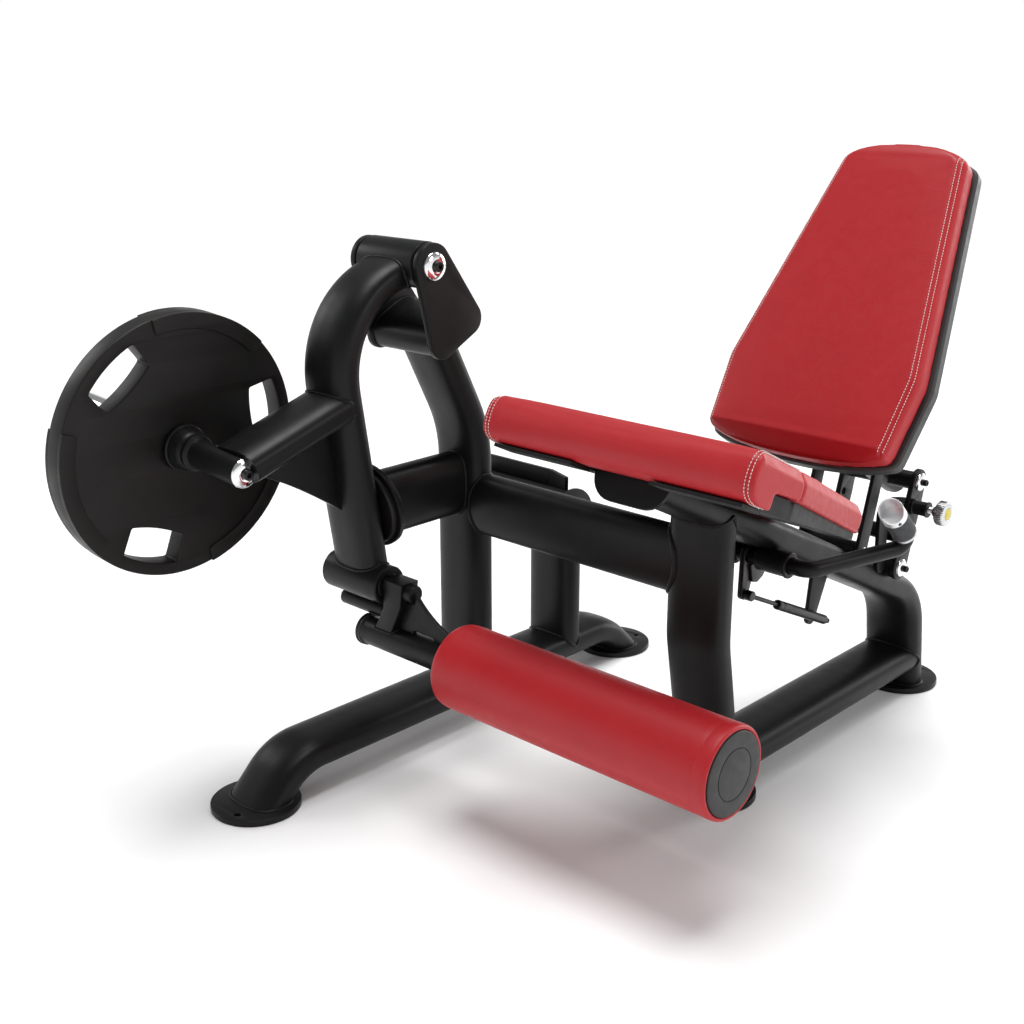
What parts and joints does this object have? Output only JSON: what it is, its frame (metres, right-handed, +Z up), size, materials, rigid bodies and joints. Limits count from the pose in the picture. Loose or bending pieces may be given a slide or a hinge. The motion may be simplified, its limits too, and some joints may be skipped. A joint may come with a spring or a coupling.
{
  "type": "leg extension machine",
  "caption": "Plate-loaded leg extension machine with a sloping padded seat, adjustable backrest, swinging arm with foam roller, loading horn, weight plate and fold-down side handles.",
  "frame": {"origin": "centre of the object's box at floor level, with the weight plate and the arm at rest", "axes": "+Z up; the user sits facing -Y; +X points to the user's left, away from the loading horn"},
  "size_m": [1.2324, 1.5494, 1.0883],
  "materials": {
    "black_paint": "satin black powder coat with fine orange peel",
    "red_vinyl": "red vinyl upholstery, fine grain, soft sheen, white double stitching",
    "black_plastic": "moulded matt black plastic, fine texture",
    "black_rubber": "matt black rubber coating",
    "grip_rubber": "dark grey textured rubber",
    "chrome": "bright chrome plate",
    "black_steel": "semi-gloss black steel"
  },
  "bodies": {
    "frame": {"left_front_foot": "black_paint", "left_rear_foot": "black_paint", "right_front_foot": "black_paint", "right_rear_foot": "black_paint", "left_base_tube": "black_paint", "column": "black_paint", "front_post": "black_paint", "seat_rail": "black_paint", "right_base_tube": "black_paint", "lateral_tube": "black_paint", "storage_post": "black_paint", "storage_bracket": "black_paint", "clevis_tube": "black_paint", "clevis_plate_outer": "black_paint", "clevis_plate_inner": "black_paint", "pivot_shaft": "chrome", "pivot_bolt": "chrome", "stop_tube": "black_paint", "stop_bumper": "black_rubber", "seat_pad": "red_vinyl", "seat_tray_left": "black_plastic", "seat_tray_right": "black_plastic", "rail_end_plate": "black_paint", "rear_pivot_tube": "black_paint", "front_arm_pivot_tube": "black_paint", "index_plate": "black_paint", "handle_housing_left": "black_paint", "handle_housing_right": "black_paint", "damper_tab": "black_paint"},
    "swing_arm": {"arm_hub": "black_paint", "arm_tube": "black_paint", "arm_cross_tube": "black_paint", "horn_arm": "black_paint", "horn_gusset": "black_paint", "horn_tube": "black_paint", "horn_bolt": "chrome", "horn_sleeve": "chrome"},
    "plate": {"weight_plate": "black_rubber"},
    "roller_carriage": {"carriage_shaft": "black_paint", "roller_tube": "black_paint", "roller_tube_cap": "black_plastic", "carriage_link": "black_paint", "carriage_gusset": "black_paint"},
    "roller": {"roller_pad": "red_vinyl", "roller_end_cap": "black_plastic"},
    "back_link": {"rear_link": "black_paint", "pin_housing": "black_paint"},
    "backrest": {"backrest_pad": "red_vinyl", "backrest_shell": "black_plastic", "back_carrier": "black_paint", "back_bracket": "black_paint"},
    "front_arms": {"front_arm_left": "black_paint", "front_arm_right": "black_paint"},
    "index_pin": {"pop_pin": "chrome"},
    "handles": {"handle_tube": "black_paint", "handle_grip_left": "grip_rubber", "handle_grip_right": "grip_rubber", "damper_lever": "black_steel"},
    "damper_barrel": {"damper_cylinder": "black_steel"},
    "damper_piston": {"damper_rod": "black_steel"}
  },
  "joints": [
    {"name": "arm_swing", "type": "hinge", "parent": "frame", "child": "swing_arm", "pos_m": [-0.19078, -0.18025, 0.9], "axis": [-1, 0, 0], "range_deg": [0, 80]},
    {"name": "plate_slide", "type": "slide", "parent": "swing_arm", "child": "plate", "axis": [-0.9971, 0, 0.0767], "range_m": [0, 0.3]},
    {"name": "carriage_swing", "type": "hinge", "parent": "swing_arm", "child": "roller_carriage", "pos_m": [-0.19078, -0.28725, 0.355], "axis": [1, 0, 0], "range_deg": [-25, 60]},
    {"name": "roller_spin", "type": "hinge", "parent": "roller_carriage", "child": "roller", "pos_m": [0.35422, -0.28825, 0.258], "axis": [1, 0, 0], "continuous": true},
    {"name": "back_link_hinge", "type": "hinge", "parent": "frame", "child": "back_link", "pos_m": [0.35422, 0.51275, 0.314], "axis": [1, 0, 0], "range_deg": [0, 32]},
    {"name": "backrest_hinge", "type": "hinge", "parent": "back_link", "child": "backrest", "pos_m": [0.35422, 0.56075, 0.473], "axis": [1, 0, 0], "range_deg": [-32, 0]},
    {"name": "front_arms_hinge", "type": "hinge", "parent": "frame", "child": "front_arms", "pos_m": [0.35422, 0.38675, 0.373], "axis": [1, 0, 0], "range_deg": [0, 32]},
    {"name": "index_pin_pull", "type": "slide", "parent": "back_link", "child": "index_pin", "axis": [1, 0, 0], "range_m": [0, 0.012], "stiffness_N_per_m": 600, "springref_m": -0.02},
    {"name": "handle_fold", "type": "hinge", "parent": "frame", "child": "handles", "pos_m": [0.35422, 0.11475, 0.424], "axis": [1, 0, 0], "range_deg": [-60, 0], "stiffness_Nm_per_rad": 12, "springref_deg": 68.75},
    {"name": "damper_swing", "type": "hinge", "parent": "frame", "child": "damper_barrel", "pos_m": [0.36922, 0.32775, 0.25], "axis": [1, 0, 0], "range_deg": [-6, 6]},
    {"name": "damper_stroke", "type": "slide", "parent": "damper_barrel", "child": "damper_piston", "axis": [0, -0.9054, 0.4246], "range_m": [-0.005, 0.075]}
  ],
  "couplings": [
    {"joint": "backrest_hinge", "follows": "back_link_hinge", "ratio": -1},
    {"joint": "front_arms_hinge", "follows": "back_link_hinge", "ratio": 1},
    {"joint": "damper_swing", "follows": "handle_fold", "ratio": 0.057},
    {"joint": "damper_stroke", "follows": "handle_fold", "m_per_rad": -0.0635}
  ]
}
